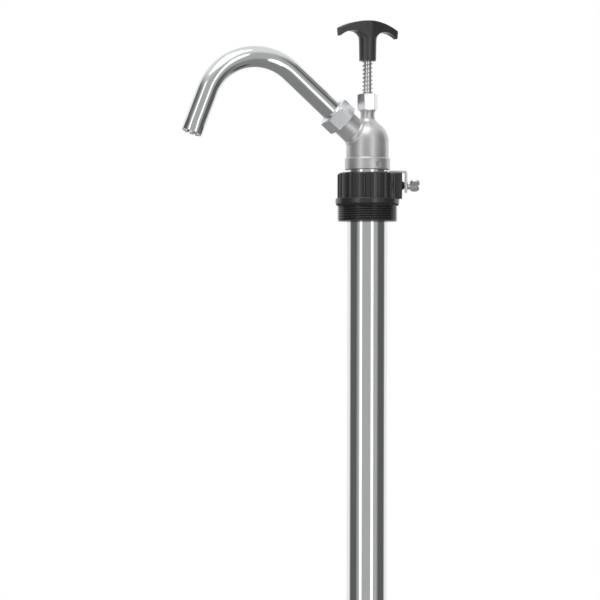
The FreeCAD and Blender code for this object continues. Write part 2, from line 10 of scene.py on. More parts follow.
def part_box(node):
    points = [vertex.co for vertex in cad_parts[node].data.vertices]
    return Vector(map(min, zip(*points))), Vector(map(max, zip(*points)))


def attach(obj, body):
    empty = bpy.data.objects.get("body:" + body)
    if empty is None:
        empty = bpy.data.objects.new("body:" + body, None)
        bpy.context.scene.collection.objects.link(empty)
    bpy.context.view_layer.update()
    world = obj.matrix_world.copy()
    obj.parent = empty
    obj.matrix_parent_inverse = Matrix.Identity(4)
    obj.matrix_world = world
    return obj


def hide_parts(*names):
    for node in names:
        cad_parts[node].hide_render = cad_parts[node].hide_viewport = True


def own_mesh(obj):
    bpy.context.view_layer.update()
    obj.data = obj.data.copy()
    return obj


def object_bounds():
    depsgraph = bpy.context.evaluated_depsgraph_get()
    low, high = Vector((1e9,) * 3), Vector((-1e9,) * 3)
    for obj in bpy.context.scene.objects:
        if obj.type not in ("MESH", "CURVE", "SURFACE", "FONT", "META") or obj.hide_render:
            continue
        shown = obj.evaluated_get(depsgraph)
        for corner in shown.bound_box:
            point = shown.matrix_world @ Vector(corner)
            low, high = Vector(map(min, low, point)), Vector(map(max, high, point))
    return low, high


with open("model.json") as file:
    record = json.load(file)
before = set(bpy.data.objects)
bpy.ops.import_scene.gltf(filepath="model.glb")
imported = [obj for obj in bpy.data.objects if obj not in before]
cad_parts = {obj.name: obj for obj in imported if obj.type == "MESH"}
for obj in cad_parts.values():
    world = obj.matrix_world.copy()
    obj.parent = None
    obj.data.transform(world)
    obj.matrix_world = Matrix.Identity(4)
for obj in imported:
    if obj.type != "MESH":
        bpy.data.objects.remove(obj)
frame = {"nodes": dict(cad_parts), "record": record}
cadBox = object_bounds()
mm = 0.001


# sockets that can be used in sums

class Flow:
    def __init__(self, tree, socket):
        self.tree = tree
        self.socket = socket

    def maths(self, operation, *others):
        return self.tree.sum(operation, self, *others)

    def __add__(self, other):
        return self.maths("ADD", other)

    def __radd__(self, other):
        return self.tree.sum("ADD", other, self)

    def __sub__(self, other):
        return self.maths("SUBTRACT", other)

    def __rsub__(self, other):
        return self.tree.sum("SUBTRACT", other, self)

    def __mul__(self, other):
        return self.maths("MULTIPLY", other)

    def __rmul__(self, other):
        return self.tree.sum("MULTIPLY", other, self)

    def __truediv__(self, other):
        return self.maths("DIVIDE", other)

    def __rtruediv__(self, other):
        return self.tree.sum("DIVIDE", other, self)

    def __neg__(self):
        return self.maths("MULTIPLY", -1.0)

    def __abs__(self):
        return self.maths("ABSOLUTE")

    def low(self, other):
        return self.maths("MINIMUM", other)

    def high(self, other):
        return self.maths("MAXIMUM", other)

    def blendLow(self, other, reach):
        return self.maths("SMOOTH_MIN", other, reach)

    def blendHigh(self, other, reach):
        return self.maths("SMOOTH_MAX", other, reach)


class Tree:
    def __init__(self, nodeTree):
        self.nodeTree = nodeTree

    def node(self, kind, settings=None, inputs=None):
        made = self.nodeTree.nodes.new(kind)
        for name, value in (settings or {}).items():
            if name == "stops":
                self.setStops(made.color_ramp.elements, value)
            else:
                setattr(made, name, value)
        for name, value in (inputs or {}).items():
            self.feed(made.inputs[name], value)
        return made

    def feed(self, socket, value):
        if isinstance(value, Flow):
            self.nodeTree.links.new(value.socket, socket)
        else:
            socket.default_value = value

    def flow(self, kind, settings=None, inputs=None, output=0):
        return Flow(self, self.node(kind, settings, inputs).outputs[output])

    def sum(self, operation, *values):
        return self.flow("ShaderNodeMath", {"operation": operation}, dict(enumerate(values)))

    def setStops(self, elements, stops):
        while len(elements) < len(stops):
            elements.new(1.0)
        for element, (place, colour) in zip(elements, stops):
            element.position = place
            element.color = colour

    def length(self, *parts):
        total = parts[0] * parts[0]
        for part in parts[1:]:
            total = total + part * part
        return total.maths("SQRT")


# meshes

def newObject(name, mesh):
    made = bpy.data.objects.new(name, mesh)
    bpy.context.scene.collection.objects.link(made)
    return made


def meshFromBmesh(name, built, smooth=True):
    mesh = bpy.data.meshes.new(name)
    for face in built.faces:
        face.smooth = smooth
    built.to_mesh(mesh)
    built.free()
    return mesh


def finishMesh(made, name):
    # the evaluated result, as a plain mesh on a clean object
    graph = bpy.context.evaluated_depsgraph_get()
    mesh = bpy.data.meshes.new_from_object(made.evaluated_get(graph))
    mesh.name = name
    bpy.data.objects.remove(made)
    return newObject(name, mesh)


def softShading(made, angle=30):
    made.data.shade_smooth()
    made.data.set_sharp_from_angle(angle=math.radians(angle))
    return made


def turnedMesh(outline, segments, closed=True):
    # outline is points of (radius, height) in metres, turned about Z
    built = bmesh.new()
    rings = []
    for radius, height in outline:
        if radius < 1e-7:
            rings.append([built.verts.new((0, 0, height))] * segments)
            continue
        angles = [2 * math.pi * k / segments for k in range(segments)]
        rings.append([built.verts.new((radius * math.cos(a), radius * math.sin(a), height))
                      for a in angles])
    pairs = list(zip(rings, rings[1:] + rings[:1])) if closed else list(zip(rings, rings[1:]))
    for ringA, ringB in pairs:
        for k in range(segments):
            corners = [ringA[k], ringA[(k + 1) % segments], ringB[(k + 1) % segments], ringB[k]]
            unique = list(dict.fromkeys(corners))
            if len(unique) > 2:
                built.faces.new(unique)
    bmesh.ops.recalc_face_normals(built, faces=built.faces)
    return built


def rounded(corners, radius, steps=4, closed=True):
    # each corner of an outline replaced by a short arc; a corner may give its own radius
    points = []
    count = len(corners)
    for k, corner in enumerate(corners):
        here = Vector(corner[:2])
        before = Vector(corners[k - 1][:2]) - here
        after = Vector(corners[(k + 1) % count][:2]) - here
        reach = corner[2] if len(corner) > 2 else radius
        atEnd = not closed and k in (0, count - 1)
        if reach <= 0 or atEnd or here.x < 1e-7:
            points.append(tuple(here))
            continue
        half = before.angle(after) / 2
        cut = min(reach / math.tan(half), 0.45 * before.length, 0.45 * after.length)
        start = here + before.normalized() * cut
        end = here + after.normalized() * cut
        for step in range(steps + 1):
            t = step / steps
            points.append(tuple((1 - t) ** 2 * start + 2 * t * (1 - t) * here + t * t * end))
    return points


def runTree(name, sizes, slotName, make, mesh=None):
    # a Geometry Nodes tree with its sizes as named inputs, run once and kept as a plain mesh
    group = bpy.data.node_groups.new(name, "GeometryNodeTree")
    group.interface.new_socket("Geometry", in_out="INPUT", socket_type="NodeSocketGeometry")
    group.interface.new_socket("Geometry", in_out="OUTPUT", socket_type="NodeSocketGeometry")
    for key in sizes:
        group.interface.new_socket(key, in_out="INPUT", socket_type="NodeSocketFloat")
    tree = Tree(group)
    entry = group.nodes.new("NodeGroupInput")
    flows = {key: Flow(tree, entry.outputs[key]) for key in sizes}
    shape = make(tree, flows, Flow(tree, entry.outputs[0]))
    real = tree.flow("GeometryNodeRealizeInstances", inputs={0: shape})
    painted = tree.flow("GeometryNodeSetMaterial", inputs={0: real, "Material": finishes[slotName]})
    tree.feed(group.nodes.new("NodeGroupOutput").inputs[0], painted)

    made = newObject(name, mesh or bpy.data.meshes.new(name))
    modifier = made.modifiers.new("shape", "NODES")
    modifier.node_group = group
    for item in group.interface.items_tree:
        if item.in_out == "INPUT" and item.name in sizes:
            modifier[item.identifier] = float(sizes[item.name])
    made = finishMesh(made, name)
    return made


def solidFromField(name, sizes, slotName, low, high, grain, field):
    # surface where field(tree, sizes, x, y, z), all in millimetres, crosses zero
    def make(tree, flows, incoming):
        point = tree.flow("GeometryNodeInputPosition")
        parts = tree.node("ShaderNodeSeparateXYZ", inputs={0: point})
        x, y, z = (Flow(tree, parts.outputs[k]) / mm for k in range(3))
        inputs = {"Density": -field(tree, flows, x, y, z), "Background": -1.0,
                  "Min": [v * mm for v in low], "Max": [v * mm for v in high]}
        for k, letter in enumerate("XYZ"):
            inputs["Resolution " + letter] = int((high[k] - low[k]) / grain) + 1
        volume = tree.flow("GeometryNodeVolumeCube", inputs=inputs)
        surface = tree.flow("GeometryNodeVolumeToMesh",
                            inputs={"Volume": volume, "Threshold": 0.0})
        return tree.flow("GeometryNodeSetShadeSmooth", inputs={0: surface})
    return runTree(name, sizes, slotName, make)


# materials

def newMaterial(name, **settings):
    material = bpy.data.materials.new(name)
    material.use_nodes = True
    tree = Tree(material.node_tree)
    shader = material.node_tree.nodes["Principled BSDF"]
    for key, value in settings.items():
        tree.feed(shader.inputs[key], value)
    return material, tree, shader


def noise(tree, point, scale, detail=4.0, roughness=0.5):
    return tree.flow("ShaderNodeTexNoise", inputs={
        "Vector": point, "Scale": scale, "Detail": detail, "Roughness": roughness})


def bump(tree, shader, height, strength, distance):
    normal = tree.flow("ShaderNodeBump", inputs={
        "Height": height, "Strength": strength, "Distance": distance})
    tree.feed(shader.inputs["Normal"], normal)


def objectPoint(tree):
    return tree.flow("ShaderNodeTexCoord", output="Object")


def mixColours(tree, factor, first, second):
    made = tree.node("ShaderNodeMix", {"data_type": "RGBA"})
    tree.feed(made.inputs[0], factor)
    tree.feed(made.inputs[6], first)
    tree.feed(made.inputs[7], second)
    return Flow(tree, made.outputs[2])


def stretched(tree, point, scale):
    return tree.flow("ShaderNodeMapping", inputs={"Vector": point, "Scale": scale})


chrome = {"tint": (0.86, 0.87, 0.88, 1), "haze": 0.045, "hazeSpread": 0.05}


def makeChrome(name, tint):
    material, tree, shader = newMaterial(name, Metallic=1.0)
    point = objectPoint(tree)
    cloud = noise(tree, point, 60.0, 3.0)
    streaks = noise(tree, stretched(tree, point, (900, 900, 12)), 1.0, 2.0)
    tree.feed(shader.inputs["Base Color"], mixColours(tree, cloud, tint, chrome["tint"]))
    tree.feed(shader.inputs["Roughness"], chrome["haze"] + chrome["hazeSpread"] * streaks * cloud)
    bump(tree, shader, streaks, 0.02, 0.0001)
    return material


castAlloy = {"light": (0.84, 0.84, 0.84, 1), "dark": (0.46, 0.46, 0.455, 1), "rough": 0.34}


def makeCastAlloy():
    material, tree, shader = newMaterial("castAlloy", Metallic=0.72)
    point = objectPoint(tree)
    blotches = noise(tree, point, 55.0, 5.0)
    grain = noise(tree, point, 900.0, 3.0, 0.6)
    tree.feed(shader.inputs["Base Color"],
              mixColours(tree, blotches, castAlloy["dark"], castAlloy["light"]))
    tree.feed(shader.inputs["Roughness"], castAlloy["rough"] + 0.18 * (grain - 0.5))
    bump(tree, shader, grain + 2.0 * blotches, 0.22, 0.0004)
    return material


def makeZinc(name, light, dark, rough, turning):
    material, tree, shader = newMaterial(name, Metallic=1.0)
    point = objectPoint(tree)
    cloud = noise(tree, point, 120.0, 4.0)
    scratches = noise(tree, stretched(tree, point, turning), 1.0, 3.0, 0.6)
    tree.feed(shader.inputs["Base Color"], mixColours(tree, cloud, dark, light))
    tree.feed(shader.inputs["Roughness"], rough + 0.07 * (scratches - 0.5))
    bump(tree, shader, scratches, 0.012, 0.0001)
    return material


def makePlastic(name, colour, worn, rough, grainScale, grainDepth):
    material, tree, shader = newMaterial(name, **{"Specular IOR Level": 0.8})
    point = objectPoint(tree)
    grain = noise(tree, point, grainScale, 2.0, 0.6)
    cloud = noise(tree, point, 35.0, 4.0)
    tree.feed(shader.inputs["Base Color"], mixColours(tree, cloud, colour, worn))
    tree.feed(shader.inputs["Roughness"], rough + 0.12 * (cloud - 0.5))
    bump(tree, shader, grain, 0.18, grainDepth)
    return material


def makeRubber():
    material, tree, shader = newMaterial("blackRubber")
    point = objectPoint(tree)
    cloud = noise(tree, point, 90.0, 4.0)
    tree.feed(shader.inputs["Base Color"],
              mixColours(tree, cloud, (0.012, 0.012, 0.012, 1), (0.03, 0.03, 0.029, 1)))
    tree.feed(shader.inputs["Roughness"], 0.55 + 0.2 * cloud)
    bump(tree, shader, noise(tree, point, 1500.0, 2.0), 0.2, 0.0001)
    return material


finishes = {
    "barrel_chrome": makeChrome("barrelChrome", (0.80, 0.81, 0.815, 1)),
    "spout_chrome": makeChrome("spoutChrome", (0.77, 0.80, 0.80, 1)),
    "cast_alloy": makeCastAlloy(),
    "zinc_nut": makeZinc("zincNut", (0.90, 0.91, 0.93, 1), (0.82, 0.83, 0.85, 1), 0.24,
                         (300, 300, 2500)),
    "zinc_strip": makeZinc("zincStrip", (0.86, 0.87, 0.89, 1), (0.76, 0.77, 0.79, 1), 0.32,
                           (1500, 1500, 200)),
    "black_plastic": makePlastic("blackPlastic", (0.018, 0.018, 0.018, 1),
                                 (0.028, 0.028, 0.027, 1), 0.22, 1400.0, 0.00004),
    "handle_plastic": makePlastic("handlePlastic", (0.032, 0.032, 0.032, 1),
                                  (0.045, 0.045, 0.044, 1), 0.30, 1100.0, 0.00006),
    "white_nylon": makePlastic("whiteNylon", (0.70, 0.69, 0.62, 1), (0.78, 0.77, 0.71, 1),
                               0.45, 900.0, 0.0001),
    "grey_plastic": makePlastic("greyPlastic", (0.075, 0.078, 0.082, 1),
                                (0.10, 0.104, 0.108, 1), 0.45, 1000.0, 0.00012),
    "black_rubber": makeRubber(),
    "bright_steel": makeZinc("brightSteel", (0.82, 0.82, 0.83, 1), (0.74, 0.74, 0.75, 1), 0.14,
                             (3000, 3000, 60)),
    "spring_steel": makeZinc("springSteel", (0.62, 0.62, 0.63, 1), (0.48, 0.48, 0.50, 1), 0.25,
                             (900, 900, 900)),
    "brass": makeZinc("turnedBrass", (0.80, 0.62, 0.30, 1), (0.68, 0.50, 0.22, 1), 0.24,
                      (200, 200, 3000)),
}


def paintFrame():
    # the CAD nodes that stay take the finish of their own slot
    slots = {part["node"]: part["material_slot"] for part in frame["record"]["subparts"]}
    for name, made in frame["nodes"].items():
        for materialSlot in made.material_slots:
            materialSlot.material = finishes[slots[name]]


def keep(made, slotName, body, *nodes):
    # body and CAD nodes that a piece stands for, and its finish if no tree has set it
    if slotName:
        made.data.materials.clear()
        made.data.materials.append(finishes[slotName])
    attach(made, body)
    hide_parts(*nodes)
    print("piece", made.name, len(made.data.polygons), "faces")
    return made


def circleThrough(a, b, c):
    # centre and radius of the arc through three points
    (ax, ay), (bx, by), (cx, cy) = a, b, c
    d = 2 * (ax * (by - cy) + bx * (cy - ay) + cx * (ay - by))
    sa, sb, sc = ax * ax + ay * ay, bx * bx + by * by, cx * cx + cy * cy
    x = (sa * (by - cy) + sb * (cy - ay) + sc * (ay - by)) / d
    y = (sa * (cx - bx) + sb * (ax - cx) + sc * (bx - ax)) / d
    return x, y, math.hypot(ax - x, ay - y)


def lowest(node):
    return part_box(node)[0].z / mm


def highest(node):
    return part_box(node)[1].z / mm


paintFrame()
print("frame painted")

# cast head

# "sample" is the distance between samples of a piece that is made from a field, in millimetres,
# and "soft" is how widely the head's surfaces run into one another
head = {"sample": 0.55,
        "soft": {"shoulder": 0.5, "cone": 1.5, "bandTop": 1.1, "neck": 6.0, "band": 0.8, "seam": 0.5,
                 "foot": 0.7, "inside": 0.3},
        "band": (22.4, 11.4), "body": 21.0, "domeFrom": (21.0, 29.9), "domeMid": (19.1, 36.4),
        "domeEnd": (14.5, 43.4), "coneEnd": (10.2, 46.9), "neck": 7.0, "neckEnd": 57.4,
        "thread": 7.9, "top": 68.9, "socket": (20.05, 16.4), "chamber": (17.5, 29.9, 10.9, 39.8),
        "guide": 4.35, "packing": (6.3, 61.9), "setScrew": (2.05, 5.0, -83.0)}
boss = {"height": 24.8, "rise": 40.7, "radius": 13.2, "reach": 43.0, "passage": 9.0,
        "socket": 11.0, "socketStart": 31.0}
headFoot = lowest("pump_head")
rise = math.radians(boss["rise"])


def bossFrame(x, z, foot):
    # distance along the boss, and across it in its own upright plane
    lift = z - foot - boss["height"]
    return (lift * math.sin(rise) - x * math.cos(rise), x * math.sin(rise) + lift * math.cos(rise))


def headField(tree, s, x, y, z):
    soft = head["soft"]
    h = z - s["Foot"]
    r = tree.length(x, y)
    along, across = bossFrame(x, z, s["Foot"])
    fromBoss = tree.length(y, across)
    fallR = head["domeEnd"][0] - head["coneEnd"][0]
    fallZ = head["coneEnd"][1] - head["domeEnd"][1]
    slope = math.hypot(fallR, fallZ)
    dome = tree.length((r - s["Dome Centre"]).high(0), (h - s["Dome Start"]).high(0)) - s["Dome Curve"]
    cone = ((r - head["domeEnd"][0]) * fallZ + (h - head["domeEnd"][1]) * fallR) / slope
    body = dome.blendHigh(r - s["Body"], soft["shoulder"]).blendHigh(cone, soft["cone"])
    neck = (r - s["Neck"]).high(h - s["Neck End"])
    thread = (r - s["Thread"]).high(s["Neck End"] - h).high(h - s["Top"])
    band = (r - s["Band"]).blendHigh(h - s["Band Height"], soft["bandTop"])
    bossOut = (fromBoss - s["Boss"]).high(along - s["Boss Reach"]).high(-along)
    seam = tree.length(body, fromBoss - s["Boss"]).high(4.0 - along) - s["Seam Bead"]
    outside = body.blendLow(neck, soft["neck"]).blendLow(band, soft["band"])
    outside = outside.blendLow(bossOut, s["Boss Fillet"]).blendLow(seam, soft["seam"])
    outside = outside.low(thread).blendHigh(-h, soft["foot"])
    chamberR, chamberTop, roofR, roof = head["chamber"]
    taper = ((r - chamberR) + (h - chamberTop) * ((chamberR - roofR) / (roof - chamberTop))) * 0.8
    chamber = (r - chamberR).high(taper).high(h - roof)
    socket = (r - head["socket"][0]).high(h - head["socket"][1])
    packing = (r - head["packing"][0]).high(head["packing"][1] - h)
    passage = (fromBoss - boss["passage"]).high(-along)
    spoutSocket = (fromBoss - boss["socket"]).high(boss["socketStart"] - along)
    holeR, holeHeight, holeAngle = head["setScrew"]
    c, k = math.cos(math.radians(holeAngle)), math.sin(math.radians(holeAngle))
    hole = (tree.length(y * c - x * k, h - holeHeight) - holeR).high(19.0 - (x * c + y * k))
    inside = chamber.low(socket).low(r - head["guide"]).low(packing)
    inside = inside.low(passage).low(spoutSocket).blendLow(hole, soft["inside"])
    return outside.blendHigh(-inside, soft["inside"])


domeCentre = circleThrough(head["domeFrom"], head["domeMid"], head["domeEnd"])
headSizes = {"Foot": headFoot, "Body": head["body"], "Dome Centre": domeCentre[0],
             "Dome Start": domeCentre[1], "Dome Curve": domeCentre[2], "Neck": head["neck"],
             "Neck End": head["neckEnd"], "Thread": head["thread"], "Top": head["top"],
             "Band": head["band"][0], "Band Height": head["band"][1], "Boss": boss["radius"],
             "Boss Reach": boss["reach"], "Boss Fillet": 0.5, "Seam Bead": 1.5}
castHead = solidFromField("castHead", headSizes, "cast_alloy", (-42.5, -23.2, headFoot - 0.8),
                          (23.2, 23.2, headFoot + 69.8), head["sample"], headField)
keep(castHead, None, "barrel", "pump_head")

# nuts

glandNut = {"flat": 9.0, "turn": -9.0, "chamfer": 1.0, "bore": 4.35, "thread": (8.0, 11.6),
            "sample": 0.2}
unionNut = {"flat": 15.0, "turn": -20.0, "start": 34.0, "end": 50.5, "chamfer": 2.2,
            "innerChamfer": 0.5, "bore": 11.0, "thread": (13.3, 47.1), "sample": 0.27}


def nutField(tree, s, a, b, along, turn, edge):
    # hexagon with its corners turned off by cones, bored right through
    r = tree.length(a, b)
    corner = s["Flat"] / math.cos(math.radians(30))
    hexagon = None
    for k in range(3):
        angle = math.radians(turn + 30 + 60 * k)
        side = abs(a * math.cos(angle) + b * math.sin(angle)) - s["Flat"]
        hexagon = side if hexagon is None else hexagon.blendHigh(side, edge)
    top = ((r - corner) + 2 * (along - s["End"] + s["Chamfer"])) / math.sqrt(5)
    bottom = ((r - corner) + 2 * (s["Start"] + s["Inner Chamfer"] - along)) / math.sqrt(5)
    solid = hexagon.blendHigh(top, edge).blendHigh(bottom, edge)
    solid = solid.blendHigh(along - s["End"], edge).blendHigh(s["Start"] - along, edge)
    bore = (r - s["Bore"]).low((r - s["Thread"]).high(along - s["Thread End"]))
    return solid.blendHigh(-bore, 2 * edge)


def nutSizes(nut, start, end, threadEnd):
    return {"Flat": nut["flat"], "Start": start, "End": end, "Chamfer": nut["chamfer"],
            "Inner Chamfer": nut.get("innerChamfer", nut["chamfer"]), "Bore": nut["bore"],
            "Thread": nut["thread"][0], "Thread End": threadEnd}


nutFoot, nutTop = lowest("gland_nut"), highest("gland_nut")
glandSizes = nutSizes(glandNut, nutFoot, nutTop, nutFoot + glandNut["thread"][1])
glandPiece = solidFromField(
    "glandNut", glandSizes, "zinc_nut", (-11, -11, nutFoot - 0.6), (11, 11, nutTop + 0.6),
    glandNut["sample"], lambda tree, s, x, y, z: nutField(tree, s, x, y, z, glandNut["turn"], 0.45))
keep(glandPiece, None, "barrel", "gland_nut")


def unionField(tree, s, x, y, z):
    along, across = bossFrame(x, z, headFoot)
    return nutField(tree, s, across, y, along, unionNut["turn"], 0.6)


low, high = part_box("union_nut")
unionPiece = solidFromField(
    "unionNut", nutSizes(unionNut, unionNut["start"], unionNut["end"], unionNut["thread"][1]),
    "zinc_nut", [v / mm - 0.6 for v in low], [v / mm + 0.6 for v in high], unionNut["sample"],
    unionField)
keep(unionPiece, None, "barrel", "union_nut")

# spout, a bent tube

spout = {"radius": 10.65, "wall": 1.2, "start": 32.0, "bendStart": 107.2, "bendRadius": 54.3,
         "turn": 109.3, "tail": 44.0, "segments": 112, "bendSteps": 72, "flattening": 0.012}


def spoutStations():
    # centre, direction across the bend and flattening for each ring along the tube
    stations = [(0.0, spout["start"], 0.0, 0.0)]
    stations += [(0.0, spout["start"] + (spout["bendStart"] - spout["start"]) * t / 6, 0.0, 0.0)
                 for t in range(1, 6)]
    for step in range(spout["bendSteps"] + 1):
        t = step / spout["bendSteps"]
        angle = math.radians(spout["turn"] * t)
        flat = spout["flattening"] * min(1.0, 6 * t, 6 * (1 - t))
        stations.append((-spout["bendRadius"] * (1 - math.cos(angle)),
                         spout["bendStart"] + spout["bendRadius"] * math.sin(angle), angle, flat))
    u, s, angle, flat = stations[-1]
    for t in range(1, 5):
        reach = spout["tail"] * t / 4
        stations.append((u - math.sin(angle) * reach, s + math.cos(angle) * reach, angle, 0.0))
    return stations


def bossPoint(u, s, y):
    # a point across and along the boss axis, as a place in metres
    x = u * math.sin(rise) - s * math.cos(rise)
    z = headFoot + boss["height"] + u * math.cos(rise) + s * math.sin(rise)
    return Vector((x, y, z)) * mm


def buildSpout():
    outer, inner = spout["radius"], spout["radius"] - spout["wall"]
    stations = spoutStations()
    rings = [(place, outer, 0.0) for place in stations]
    rings[-1] = (stations[-1], outer, -0.35)
    rings += [(stations[-1], radius, pull) for radius, pull in (
        (outer - 0.1, -0.1), (outer - 0.4, 0.0), (inner + 0.35, 0.0), (inner + 0.08, -0.12),
        (inner, -0.4))]
    rings += [(place, inner, 0.0) for place in reversed(stations[:-1])]
    built = bmesh.new()
    made = []
    for (u, s, angle, flat), radius, pull in rings:
        u, s = u - math.sin(angle) * pull, s + math.cos(angle) * pull
        ring = []
        for k in range(spout["segments"]):
            turn = 2 * math.pi * k / spout["segments"]
            across = radius * math.cos(turn) * (1 - flat)
            side = radius * math.sin(turn) * (1 + flat)
            ring.append(built.verts.new(bossPoint(u + across * math.cos(angle),
                                                  s + across * math.sin(angle), side)))
        made.append(ring)
    for ringA, ringB in zip(made, made[1:] + made[:1]):
        for k in range(len(ringA)):
            n = (k + 1) % len(ringA)
            built.faces.new((ringA[k], ringA[n], ringB[n], ringB[k]))
    bmesh.ops.recalc_face_normals(built, faces=built.faces)
    return softShading(newObject("spoutTube", meshFromBmesh("spoutTube", built)), 35)


keep(buildSpout(), "spout_chrome", "spout_assembly", "spout")

# grip handle

handle = {"turn": 10.0, "height": 39.6, "span": 34.2, "endHalf": 3.2, "ridge": 9.4,
          "sample": 0.36, "endHigh": 31.3, "endSlope": 0.8,
          "arch": ((33.3, 23.1), (27.0, 27.3), (20.0, 29.2)),
          "flare": ((8.5, 15.0), (9.9, 24.6), (14.0, 28.6)), "stem": (8.3, 0.6, 26.0),
          "edge": 1.6, "endEdge": 0.7, "ridgeSoftness": 1.0, "recess": (6.35, 2.6), "rodHole": 4.35,
          "insert": (5.65, 8.0, 26.05)}
handleFoot = lowest("t_handle")


def handleField(tree, s, x, y, z):
    h = z - s["Foot"]
    c, k = math.cos(math.radians(handle["turn"])), math.sin(math.radians(handle["turn"]))
    out, side = abs(x * c + y * k), abs(y * c - x * k)
    r = tree.length(x, y)
    ridgeOut = tree.length(out, handle["ridgeSoftness"])
    lean = (handle["ridge"] - handle["endHalf"]) / handle["span"]
    plan = (side - s["Ridge"] + ridgeOut * lean) / math.hypot(1, lean)
    crown = tree.length(out, h - s["Height"] + s["Crown"]) - s["Crown"]
    ends = out - s["Span"] + (handle["endHigh"] - h) * (handle["endSlope"] / 6.9)
    archX, archZ, archR = circleThrough(*handle["arch"])
    under = archR - tree.length((out - archX).high(0), (h - archZ).high(0))
    flareX, flareZ, flareR = circleThrough(*handle["flare"])
    flare = flareR - tree.length((r - flareX).low(0), (h - flareZ).high(0))
    wings = plan.blendHigh(crown, s["Edge"]).blendHigh(ends, s["End Edge"])
    wings = wings.blendHigh(under.blendLow(flare, 3.0), s["End Edge"])
    foot, widening, stemTop = handle["stem"]
    stem = (r - foot - h * (widening / stemTop)).high(h - stemTop)
    solid = wings.blendLow(stem, 1.2).blendHigh(-h, 0.8)
    recess = (r - handle["recess"][0]).high(h - handle["recess"][1])
    insert = (r - handle["insert"][0]).high(handle["insert"][1] - h).high(h - handle["insert"][2])
    hole = (r - handle["rodHole"]).high(h - handle["insert"][1] - 0.5)
    return solid.blendHigh(-recess.low(insert).low(hole), 0.3)


crownCurve = (handle["span"] ** 2 + (handle["height"] - handle["endHigh"]) ** 2) / (
    2 * (handle["height"] - handle["endHigh"]))
handleSizes = {"Foot": handleFoot, "Height": handle["height"], "Span": handle["span"],
               "Ridge": handle["ridge"], "Crown": crownCurve, "Edge": handle["edge"],
               "End Edge": handle["endEdge"]}
low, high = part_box("t_handle")
handlePiece = solidFromField("gripHandle", handleSizes, "handle_plastic",
                             [v / mm - 1.6 for v in low], [v / mm + 1.6 for v in high],
                             handle["sample"], handleField)
keep(handlePiece, None, "rod_assembly", "t_handle")

# clamp: wing screw and bent strip clip

clamp = {"sample": 0.24,
         "angle": -21.0, "shank": 2.95, "pitch": 1.0, "threadDepth": 0.3, "hub": (4.2, 0.8, 5.2),
         "lobe": 5.0, "offset": 5.3, "outer": 12.5, "thickness": 3.0, "tilt": 27.0, "gap": 0.4}
clip = {"inner": 20.4, "outer": 39.3, "thickness": 2.4, "width": 12.0, "bend": 3.0,
        "edge": 0.45, "hole": 3.05}
low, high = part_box("clamp_screw")
clampHeight = (low.z + high.z) / 2 / mm


def clampFrame(x, y):
    # out along the clamp's own direction, and sideways to it
    c, k = math.cos(math.radians(clamp["angle"])), math.sin(math.radians(clamp["angle"]))
    return x * c + y * k, y * c - x * k


def screwField(tree, s, x, y, z):
    out, side = clampFrame(x, y)
    up = z - s["Height"]
    c, k = math.cos(math.radians(clamp["tilt"])), math.sin(math.radians(clamp["tilt"]))
    spread, through = side * c - up * k, side * k + up * c
    r = tree.length(side, up)
    turn = up.maths("ARCTAN2", side) / (2 * math.pi)
    wave = (2 * math.pi * (out / clamp["pitch"] - turn)).maths("COSINE")
    ridge = clamp["threadDepth"] * (0.5 + 0.5 * wave)
    hubStart = clip["outer"] + clamp["gap"]
    hubR, hubTaper, hubLength = clamp["hub"]
    shank = (r - s["Shank"] + ridge).high(s["Start"] - out).high(out - hubStart - 1.0)
    hub = (r - hubR + (out - hubStart) * (hubTaper / hubLength)).blendHigh(
        hubStart - out, 0.6).blendHigh(out - hubStart - hubLength, 1.0)
    centre = clip["outer"] + clamp["outer"] - clamp["lobe"]
    disc = tree.length(abs(spread) - clamp["offset"], out - centre) - s["Lobe"]
    lobes = disc.blendHigh(abs(through) - s["Thickness"] / 2, 1.6)
    return shank.low(hub.blendLow(lobes, 2.2))


screwSizes = {"Height": clampHeight, "Shank": clamp["shank"], "Lobe": clamp["lobe"],
              "Thickness": clamp["thickness"], "Start": 25.1}
screwPiece = solidFromField("wingScrew", screwSizes, "zinc_nut", [v / mm - 0.5 for v in low],
                            [v / mm + 0.5 for v in high], clamp["sample"], screwField)
keep(screwPiece, None, "wing_screw", "clamp_screw")


def bevelled(made, width, segments=3, angle=35):
    modifier = made.modifiers.new("edges", "BEVEL")
    modifier.width = width * mm
    modifier.segments = segments
    modifier.angle_limit = math.radians(angle)
    modifier.harden_normals = False
    return finishMesh(made, made.name)


def cutBy(made, *cutters, operation="DIFFERENCE"):
    for cutter in cutters:
        modifier = made.modifiers.new("cut", "BOOLEAN")
        modifier.operation = operation
        modifier.solver = "EXACT"
        modifier.object = cutter
    name = made.name
    made = finishMesh(made, name)
    for cutter in cutters:
        bpy.data.objects.remove(cutter)
    return made


def clampTurned(made):
    made.data.transform(Matrix.Rotation(math.radians(clamp["angle"]), 4, "Z"))
    return made


def radialRod(name, radius, start, end, height, angle, segments=48):
    # round bar pointing outwards, as a cutter
    built = turnedMesh([(0, start * mm), (radius * mm, start * mm), (radius * mm, end * mm),
                        (0, end * mm)], segments, closed=False)
    built.transform(Matrix.Rotation(math.radians(angle), 4, "Z")
                    @ Matrix.Translation((0, 0, height * mm)) @ Matrix.Rotation(math.pi / 2, 4, "Y"))
    return newObject(name, meshFromBmesh(name, built))


def extruded(name, outline, width):
    # outline in XZ, in millimetres, given a width along Y
    built = bmesh.new()
    face = built.faces.new([built.verts.new((x * mm, -width / 2 * mm, z * mm)) for x, z in outline])
    moved = bmesh.ops.extrude_face_region(built, geom=[face])["geom"]
    bmesh.ops.translate(built, vec=(0, width * mm, 0),
                        verts=[v for v in moved if isinstance(v, bmesh.types.BMVert)])
    bmesh.ops.recalc_face_normals(built, faces=built.faces)
    return newObject(name, meshFromBmesh(name, built))


